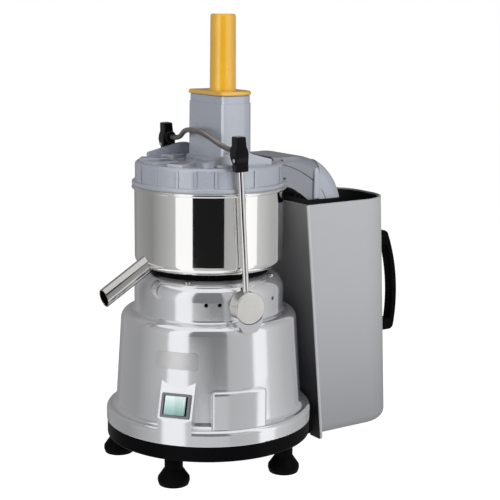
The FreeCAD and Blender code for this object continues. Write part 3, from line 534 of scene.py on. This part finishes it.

# %% [markdown]
# ## Three finishes that follow the height
# The switch is a clear green cap with a lamp under it; its colour is a painted glow, pale at its upper end
# and greener below. The bin's outside carries painted shade, a little deeper towards its foot. Its inner
# panel looks at the machine and carries painted shade, dark and lighter towards the top, and only its long
# edges are the bin's own grey. A picture could be painted for each, but tones tied to the height of the
# piece need no picture and stay sharp at any distance.

# %% Lens, panel and bin
# Each tone is a share of the piece's height and the colour there.
# The lens tones are a painted glow: paler at the upper end, where the lamp under the cap shines through.
LENS_GLOW_TONES = [(0.1, (0.15, 0.29, 0.27)), (0.45, (0.30, 0.46, 0.43)), (0.9, (0.56, 0.66, 0.65))]
# The panel tones are painted shade: dark at the foot and lighter towards the top of the face that looks at
# the machine.
PANEL_SHADE_TONES = [
    (0.05, (0.018, 0.018, 0.020)), (0.30, (0.065, 0.065, 0.072)),
    (0.60, (0.165, 0.165, 0.176)), (0.98, (0.38, 0.38, 0.39))]
# The bin tones are painted shade: the grey runs deeper towards the foot.
BIN_SHADE_TONES = [
    (0.02, (0.235, 0.238, 0.252)), (0.30, (0.290, 0.294, 0.310)),
    (0.60, (0.328, 0.332, 0.348)), (0.95, (0.340, 0.344, 0.360))]
PANEL_EDGE_GREY = (0.42, 0.425, 0.445, 1)
PANEL_EDGE_SPAN = (0.45, 0.55)


def height_finish(name, tones, **values):
    """The recipe with the lowest and the highest tone, ready for a colour that follows the height."""
    return finish(name, light=tones[-1][1], dark=tones[0][1], **values)


def height_colour(tree, box, tones):
    """A colour that runs through the tones from the foot of a box to its top."""
    low, high = box
    height = axis_value(tree, coordinate(tree, "Object"), "Z")
    share = map_range(tree, height, low[2], high[2])
    node = tree.nodes.new("ShaderNodeValToRGB")
    marks = node.color_ramp.elements
    for mark, (position, colour) in zip(marks, (tones[0], tones[-1])):
        mark.position = position
        mark.color = (*colour, 1)
    for position, colour in tones[1:-1]:
        marks.new(position).color = (*colour, 1)
    tree.links.new(share.outputs["Result"], node.inputs["Fac"])
    return node.outputs["Color"]


def colour_by(made, colour):
    """Swaps a finish's drifting tone for another colour."""
    tree = made.node_tree
    tree.links.new(colour, tree.nodes["Principled BSDF"].inputs["Base Color"])
    return made


# Painted glow: the lens colour runs from green below to pale at its upper end.
def lens_glow_material():
    made = height_finish("switch_lens", LENS_GLOW_TONES, rough=(0.10, 0.18), grain=(600, 0.05), coat=0.5)
    return colour_by(made, height_colour(made.node_tree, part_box("switch_rocker"), LENS_GLOW_TONES))


def panel_shade_material():
    """Painted shade, dark where the face looks at the machine and deepest at the foot; the bin's grey on its
    long edges.
    """
    made = height_finish("bin_panel_painted_shade", PANEL_SHADE_TONES, rough=(0.30, 0.42), grain=(900, 0.06), shine=0.2)
    tree = made.node_tree
    facing = tree.nodes.new("ShaderNodeNewGeometry")
    sideways = tree.nodes.new("ShaderNodeMath")
    sideways.operation = "ABSOLUTE"
    tree.links.new(axis_value(tree, facing.outputs["Normal"], "Y"), sideways.inputs[0])
    edge = map_range(tree, sideways.outputs[0], *PANEL_EDGE_SPAN)
    mix = colour_mix(tree, edge.outputs["Result"])
    tree.links.new(height_colour(tree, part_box("bin_back_panel"), PANEL_SHADE_TONES), mix.inputs[MIX_COLOURS[0]])
    mix.inputs[MIX_COLOURS[1]].default_value = PANEL_EDGE_GREY
    return colour_by(made, mix.outputs[MIX_COLOUR_OUT])


# Painted shade: the bin's grey is deeper towards its foot.
def bin_shade_material():
    made = height_finish("bin_grey_painted_shade", BIN_SHADE_TONES, rough=(0.42, 0.54), grain=(1400, 0.12))
    return colour_by(made, height_colour(made.node_tree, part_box("bin_shell"), BIN_SHADE_TONES))


LENS = lens_glow_material()
PANEL = panel_shade_material()
BIN_SHADED = bin_shade_material()
print("finishes by height:", LENS.name, PANEL.name, BIN_SHADED.name)

# %% [markdown]
# ## Dress the solids
# Every solid is one part of one material, as it would be on a bench before assembly, so each finish simply
# lists the solids that wear it. A list like this is easier to check against the machine than a material
# picked for each object by hand.

# %% Dress
DRESS = {
    CAST_SILVER: ["base_casting"],
    BOWL_STEEL: ["juice_bowl"],
    SPOUT_STEEL: ["juice_spout"],
    ROD_STEEL: ["clamp_rod_front", "clamp_rod_rear"],
    BAR_STEEL: ["clamp_bar"],
    SCREW_STEEL: ["gasket_screws", "foot_screws", "motor_bolts", "knob_bolts", "rod_pins", "handle_screws",
                  "bin_shelf_screws", "clamp_pivot_pins", "top_bearing", "bottom_bearing", "motor_shaft"],
    DISC_ALUMINIUM: ["clamp_disc_front", "clamp_disc_rear"],
    PLATE_ALUMINIUM: ["name_plate", "drive_hub", "motor_top_shield", "motor_bottom_shield"],
    LID_GREY: ["lid", "feed_tube", "chute_hood"],
    CHUTE_SHADE_GREY: ["chute"],
    PUSHER_YELLOW: ["pusher_handle", "pusher_block"],
    KNOB_BLACK: ["clamp_knob_front", "clamp_knob_rear", "basket_nut"],
    PAN_BLACK: ["base_pan", "cord_gland", "cooling_fan", "bin_handle", "bin_shelf"],
    RUBBER: ["feet", "bowl_gasket", "lid_seal", "shaft_seal"],
    BIN_SHADED: ["bin_shell"],
    BIN_BLACK: ["bin_liner"],
    PANEL: ["bin_back_panel"],
    SWITCH_GREY: ["switch_housing", "capacitor"],
    LENS: ["switch_rocker"],
    IRON: ["motor_stator", "rotor_core"],
    STEEL_SHEET: ["filter_basket", "grater_disc"],
}


def dress(piece, made):
    piece.data.materials.clear()
    piece.data.materials.append(made)


for made, names in DRESS.items():
    for name in names:
        dress(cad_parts[name], made)
print("dressed:", sum(len(names) for names in DRESS.values()), "of", len(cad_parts))

# %% [markdown]
# ## Tools for new pieces
# Two ways of working cover most of the pieces below. A turned piece starts as one point that is extruded
# along its outline and then spun about an axis, as on a lathe. A moulded piece starts as a flat rectangle
# that is extruded upward and resized at each level, as a sculptor would build up a block, and a bevel then
# softens its edges. What comes in pairs is modelled once on the near side and copied to the far side.

# %% Edit mode
MM = 0.001
MERGE_GAP = 0.001 * MM
SMOOTH_ANGLE = 40


def in_metres(rows):
    return [tuple(value * MM for value in row) for row in rows]


def start_edit(name):
    bpy.ops.object.select_all(action="DESELECT")
    bpy.ops.mesh.primitive_plane_add(size=1)
    piece = bpy.context.object
    piece.name = name
    bpy.ops.object.mode_set(mode="EDIT")
    bpy.ops.mesh.select_all(action="SELECT")
    return piece


def end_edit(angle=SMOOTH_ANGLE):
    bpy.ops.mesh.select_all(action="SELECT")
    bpy.ops.mesh.remove_doubles(threshold=MERGE_GAP)
    bpy.ops.mesh.normals_make_consistent(inside=False)
    bpy.ops.object.mode_set(mode="OBJECT")
    bpy.ops.object.shade_smooth_by_angle(angle=math.radians(angle))


print("edit helpers ready, smooth below", SMOOTH_ANGLE, "degrees")

# %% Lathe and stack


def lathe(name, outline, steps=64):
    """Spins a closed outline of (radius, height) points about Z."""
    piece = start_edit(name)
    bpy.ops.mesh.merge(type="CENTER")
    bpy.ops.transform.translate(value=(outline[0][0], 0, outline[0][1]))
    for (radius, height), (next_radius, next_height) in zip(outline, outline[1:] + outline[:1]):
        step = (next_radius - radius, 0, next_height - height)
        bpy.ops.mesh.extrude_region_move(TRANSFORM_OT_translate={"value": step})
    bpy.ops.mesh.select_all(action="SELECT")
    bpy.ops.mesh.spin(steps=steps, angle=math.tau, center=(0, 0, 0), axis=(0, 0, 1))
    end_edit()
    return piece


def stack(name, levels):
    """Builds a block through (height, half x, half y, shift x) levels."""
    piece = start_edit(name)
    height, half_x, half_y, shift = levels[0]
    bpy.ops.transform.resize(value=(2 * half_x, 2 * half_y, 1))
    bpy.ops.transform.translate(value=(shift, 0, height))
    for next_height, next_x, next_y, next_shift in levels[1:]:
        step = (next_shift - shift, 0, next_height - height)
        bpy.ops.mesh.extrude_region_move(TRANSFORM_OT_translate={"value": step})
        scale = (next_x / half_x, next_y / half_y, 1)
        bpy.ops.transform.resize(value=scale, center_override=(next_shift, 0, next_height))
        height, half_x, half_y, shift = next_height, next_x, next_y, next_shift
    end_edit()
    return piece


print("ways of working:", lathe.__name__, stack.__name__)

# %% Soften, settle, weld and copy
BEVEL_FROM = 28
MIRROR_Y = Matrix.Scale(-1, 4, (0, 1, 0))


def choose(piece):
    bpy.ops.object.select_all(action="DESELECT")
    piece.select_set(True)
    bpy.context.view_layer.objects.active = piece


def soften(piece, width, segments):
    choose(piece)
    bevel = piece.modifiers.new("edge_round", "BEVEL")
    bevel.width = width
    bevel.segments = segments
    bevel.limit_method = "ANGLE"
    bevel.angle_limit = math.radians(BEVEL_FROM)
    bpy.ops.object.modifier_apply(modifier=bevel.name)
    bpy.ops.object.shade_smooth_by_angle(angle=math.radians(SMOOTH_ANGLE))


def settle(piece, place):
    """Moves a piece to its place and applies that, so that the object stays at the origin."""
    choose(piece)
    piece.matrix_world = place
    bpy.ops.object.transform_apply(location=True, rotation=True, scale=True)


def weld(name, pieces):
    choose(pieces[0])
    for piece in pieces[1:]:
        piece.select_set(True)
    bpy.ops.object.join()
    pieces[0].name = name
    return pieces[0]


def mirror_copy(piece, name):
    """Copies a piece to the far side, with a mesh of its own, and turns its faces outwards again."""
    choose(piece)
    bpy.ops.object.duplicate(linked=False)
    twin = bpy.context.object
    twin.name = name
    settle(twin, MIRROR_Y)
    bpy.ops.object.mode_set(mode="EDIT")
    bpy.ops.mesh.select_all(action="SELECT")
    bpy.ops.mesh.normals_make_consistent(inside=False)
    bpy.ops.object.mode_set(mode="OBJECT")
    return twin


print("finishing helpers ready, bevel from", BEVEL_FROM, "degrees")

# %% [markdown]
# ## Bowl rim
# Thin sheet would cut a hand, so the spinner rolls the bowl's edge over into a bead. It is a small circle
# of points spun about the bowl's axis, which is quicker and cleaner than bending a pipe.

# %% Rolled rim
BOWL_RIM_R = 83.6 * MM
BOWL_RIM_Z = 313.6 * MM
BEAD_RADIUS = 1.7 * MM
BEAD_POINTS = 12


def bead_outline():
    """A small round section at the bowl's edge."""
    angles = [math.tau * i / BEAD_POINTS for i in range(BEAD_POINTS)]
    return [(BOWL_RIM_R + BEAD_RADIUS * math.cos(angle), BOWL_RIM_Z + BEAD_RADIUS * math.sin(angle))
            for angle in angles]


def rolled_rim():
    bead = lathe("bowl_rolled_rim", bead_outline(), steps=128)
    dress(bead, BOWL_STEEL)
    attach(bead, "base")
    return bead


print("rolled edge:", rolled_rim().name)

# %% [markdown]
# ## Clamp knobs
# Each grip is a moulded block: slim at the top where a thumb pushes it, swelling where the arched bar
# enters, and broad at the foot where it takes the rod. It is built up in levels and bevelled, with a turned
# hub for the bar and a small screw that pins it. The far one is a mirror copy of the near one, and both then
# lean and turn with the clamp.

# %% Knob grips
ROD_Y = 91 * MM
KNOB_FOOT_Z = 340 * MM
BAIL_TURN = -5.5
BAIL_LEAN = -3.4
BAIL_PLACE = (turn(BAIL_TURN, "Z") @ Matrix.Translation((0, 0, HINGE_Z)) @ turn(BAIL_LEAN, "Y")
              @ Matrix.Translation((0, 0, -HINGE_Z)))
KNOB_LEVELS = [
    (0.0, 7.2, 4.9, 0.3), (9.0, 7.2, 5.2, 0.2), (13.0, 7.6, 6.4, -0.4), (18.0, 7.6, 7.6, -0.6),
    (22.5, 7.0, 7.6, -0.5), (26.5, 5.4, 7.3, -0.3), (36.8, 5.0, 7.0, -0.3)]
KNOB_EDGE = 1.3 * MM
HUB_RISE = 21 * MM
HUB_OUTLINE = [(0.0, 0.0), (6.6, 0.0), (6.6, 10.2), (6.0, 11.4), (4.8, 12.0), (3.0, 12.0), (0.0, 12.0)]


def near_grip():
    grip = stack("knob_grip", in_metres(KNOB_LEVELS))
    soften(grip, KNOB_EDGE, segments=4)
    hub = lathe("knob_hub", in_metres(HUB_OUTLINE), steps=32)
    settle(hub, Matrix.Translation((0, 0, HUB_RISE)) @ turn(-90, "X"))
    knob = weld("knob_near", [grip, hub])
    settle(knob, Matrix.Translation((0, -ROD_Y, KNOB_FOOT_Z)))
    return knob


near_knob = near_grip()
far_knob = mirror_copy(near_knob, "knob_far")
for knob in (near_knob, far_knob):
    settle(knob, BAIL_PLACE)
    dress(knob, KNOB_BLACK)
    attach(knob, "bail")
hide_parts("clamp_knob_front")
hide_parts("clamp_knob_rear")
print("knobs:", near_knob.name, far_knob.name)

# %% Knob screws
SCREW_OUTLINE = [(0.0, 0.0), (2.1, 0.0), (2.1, 0.6), (1.5, 1.3), (0.7, 1.6), (0.6, 1.1), (0.0, 1.1)]
SCREW_X = -7.6 * MM
SCREW_OUT = 1.5 * MM
SCREW_RISE = 12.5 * MM


def near_screw():
    head = lathe("knob_screw", in_metres(SCREW_OUTLINE), steps=24)
    spot = Matrix.Translation((SCREW_X, -ROD_Y - SCREW_OUT, KNOB_FOOT_Z + SCREW_RISE))
    settle(head, spot @ turn(-90, "Y"))
    return head


screw = near_screw()
knob_pins = weld("knob_pin_screws", [screw, mirror_copy(screw, "knob_screw_far")])
settle(knob_pins, BAIL_PLACE)
dress(knob_pins, SCREW_STEEL)
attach(knob_pins, "bail")
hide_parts("knob_bolts")
print("screws:", knob_pins.name)

# %% [markdown]
# ## Chute ridge and parting line
# The chute is moulded in two halves that meet along a line on its flank, and a hood slips over its end with
# a raised band. The band is a slim bevelled block. The line is a thin dark cord laid along the joint.

# %% Chute bands
CHUTE_FLANK = 38.0 * MM
BAND_X = 117.5 * MM
BAND_LEVELS = [(295.5, 4.4, 2.4, 0), (310, 4.2, 2.6, 0), (324, 3.6, 2.3, 0), (331, 2.6, 1.2, 0)]
BAND_EDGE = 1.9 * MM


def near_band():
    band = stack("chute_band", in_metres(BAND_LEVELS))
    soften(band, BAND_EDGE, segments=4)
    settle(band, Matrix.Translation((BAND_X, -CHUTE_FLANK, 0)))
    return band


band = near_band()
bands = weld("chute_bands", [band, mirror_copy(band, "chute_band_far")])
dress(bands, LID_GREY)
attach(bands, "base")
print("bands:", bands.name)

# %% Chute seams
SEAM_DARK = finish(
    "moulding_seam", light=(0.045, 0.048, 0.058), dark=(0.030, 0.032, 0.040), rough=(0.40, 0.52), shine=0.2)
SEAM_POINTS = [(72, 336.5), (91, 332.0), (113, 321.0), (126, 307.5), (130, 295.5)]
SEAM_RADIUS = 0.4 * MM
HOOD_FROM_X = 121
HOOD_STEP = 1.35 * MM


def near_seam():
    bpy.ops.object.select_all(action="DESELECT")
    bpy.ops.curve.primitive_nurbs_path_add()
    seam = bpy.context.object
    seam.name = "chute_seam"
    spline = seam.data.splines[0]
    for knot, (x, z) in zip(spline.points, SEAM_POINTS):
        step = HOOD_STEP if x > HOOD_FROM_X else 0.0
        knot.co = (x * MM, -CHUTE_FLANK - step, z * MM, 1)
    spline.use_endpoint_u = True
    seam.data.bevel_depth = SEAM_RADIUS
    seam.data.bevel_resolution = 2
    bpy.ops.object.convert(target="MESH")
    settle(seam, Matrix.Identity(4))
    return seam


seam = near_seam()
seams = weld("chute_seams", [seam, mirror_copy(seam, "chute_seam_far")])
dress(seams, SEAM_DARK)
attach(seams, "base")
print("seams:", seams.name)

# %% [markdown]
# ## Feed tube and pusher
# The tube is a moulded chimney with tight corners at the front and wide ones at the back, a foot that
# spreads the load on the lid and a slim collar at the mouth. The pusher's plate sits on that collar and
# has a full round edge. Both share one plan: a rectangle whose corners are bevelled before it is extruded
# upward. The faces of the two tight corners take a paler finish, a painted highlight along each corner.

# %% Shared plan
TUBE_SIZE = Vector((44.5, 70.0, 1.0)) * MM
TUBE_X = 16.75 * MM
FRONT_CORNER = 3.4 * MM
BACK_CORNER = 21 * MM
PLAN_ANGLE = 30


def pick(piece, wanted):
    """Selects the vertices that a test accepts."""
    bpy.ops.mesh.select_all(action="DESELECT")
    mesh = bmesh.from_edit_mesh(piece.data)
    for vertex in mesh.verts:
        vertex.select = wanted(vertex.co)
    mesh.select_flush(True)
    bmesh.update_edit_mesh(piece.data)


def plan_size(grow):
    return TUBE_SIZE + Vector((2 * grow, 2 * grow, 0))


def start_plan(name, height, grow):
    """The tube's plan at one height, a little larger or smaller than the tube."""
    piece = start_edit(name)
    size = plan_size(grow)
    bpy.ops.transform.resize(value=(size.x, size.y, 1))
    bpy.ops.transform.translate(value=(TUBE_X, 0, height))
    pick(piece, lambda point: point.x < TUBE_X)
    bpy.ops.mesh.bevel(offset=FRONT_CORNER, segments=5, affect="VERTICES")
    pick(piece, lambda point: point.x > TUBE_X)
    bpy.ops.mesh.bevel(offset=BACK_CORNER, segments=12, affect="VERTICES")
    bpy.ops.mesh.select_all(action="SELECT")
    return piece, size


def lift_plan(rise, size, grow, height):
    """Extrudes the plan by a rise and grows it on all sides."""
    bpy.ops.mesh.extrude_region_move(TRANSFORM_OT_translate={"value": (0, 0, rise)})
    wanted = plan_size(grow)
    scale = (wanted.x / size.x, wanted.y / size.y, 1)
    bpy.ops.transform.resize(value=scale, center_override=(TUBE_X, 0, height + rise))
    return wanted, height + rise


print("plan of the tube, in metres:", [round(value, 4) for value in plan_size(0).xy])

# %% Feed tube
# A paler copy of the lid plastic: a painted highlight on the faces of the two tight front corners.
EDGE_HIGHLIGHT = finish(
    "painted_highlight_plastic", light=(0.44, 0.46, 0.51), dark=(0.40, 0.42, 0.47), rough=(0.20, 0.26),
    grain=(1500, 0.02), drift=20, coat=0.9, coat_ior=1.85, coat_rough=0.1)
TUBE_FOOT_Z = 342 * MM
TUBE_FOOT_GROW = 3 * MM
# The rise and the growth of each level: the foot and its slope, the wall, the collar and its lip.
TUBE_LEVELS = [(3.2, 3.0), (0.8, 2.2), (0.6, 0.5), (58.4, 0.2), (0.5, -0.6), (7.1, -0.6), (0.4, -1.0)]
TUBE_BORE_GROW = -2.5 * MM
TUBE_EDGE = 0.35 * MM
CAP_CORNERS = 8
CAP_NEAR = 0.1 * MM
PALE_BEFORE_X = -1.2 * MM
PALE_LEAN = 0.3


def open_foot(tube):
    """Takes away the two caps at the foot and closes the ring between the outer and the inner wall."""
    bpy.ops.mesh.select_all(action="DESELECT")
    mesh = bmesh.from_edit_mesh(tube.data)
    for face in mesh.faces:
        if len(face.verts) > CAP_CORNERS and face.calc_center_median().z < TUBE_FOOT_Z + CAP_NEAR:
            face.select_set(True)
    bmesh.update_edit_mesh(tube.data)
    bpy.ops.mesh.delete(type="ONLY_FACE")
    bpy.ops.mesh.select_all(action="DESELECT")
    bpy.ops.mesh.select_mode(type="EDGE")
    bpy.ops.mesh.select_non_manifold()
    bpy.ops.mesh.bridge_edge_loops()
    bpy.ops.mesh.select_mode(type="VERT")


# Gives the faces of the two tight front corners the painted highlight finish.
def paint_corner_highlights(tube):
    tube.data.materials.append(EDGE_HIGHLIGHT)
    for face in tube.data.polygons:
        leans = abs(face.normal.x) > PALE_LEAN and abs(face.normal.y) > PALE_LEAN
        if leans and face.center.x < PALE_BEFORE_X:
            face.material_index = 1


def feed_tube():
    tube, size = start_plan("feed_chimney", TUBE_FOOT_Z, TUBE_FOOT_GROW)
    height = TUBE_FOOT_Z
    for rise, grow in in_metres(TUBE_LEVELS):
        size, height = lift_plan(rise, size, grow, height)
    size, height = lift_plan(0, size, TUBE_BORE_GROW, height)
    lift_plan(TUBE_FOOT_Z - height, size, TUBE_BORE_GROW, height)
    open_foot(tube)
    end_edit(PLAN_ANGLE)
    soften(tube, TUBE_EDGE, segments=2)
    dress(tube, LID_GREY)
    paint_corner_highlights(tube)
    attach(tube, "base")
    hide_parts("feed_tube")
    return tube


print("tube:", feed_tube().name)

# %% Pusher
PLATE_Z = 413.2 * MM
PLATE_THICK = 5 * MM
PLATE_GROW = 1.0 * MM
PLATE_EDGE = 2.3 * MM
STEM_X = 17 * MM
STEM_OUTLINE = [(0.0, 415), (14.3, 415), (14.2, 430), (13.8, 496.6), (13.5, 498.4), (12.8, 499.5),
                (11.6, 500), (0.0, 500)]


def pusher_grip():
    plate, size = start_plan("pusher_plate", PLATE_Z, PLATE_GROW)
    lift_plan(PLATE_THICK, size, PLATE_GROW, PLATE_Z)
    end_edit(PLAN_ANGLE)
    soften(plate, PLATE_EDGE, segments=5)
    stem = lathe("pusher_stem", in_metres(STEM_OUTLINE), steps=64)
    settle(stem, Matrix.Translation((STEM_X, 0, 0)))
    grip = weld("pusher_grip", [plate, stem])
    dress(grip, PUSHER_YELLOW)
    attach(grip, "pusher")
    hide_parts("pusher_handle")
    return grip


print("pusher:", pusher_grip().name)
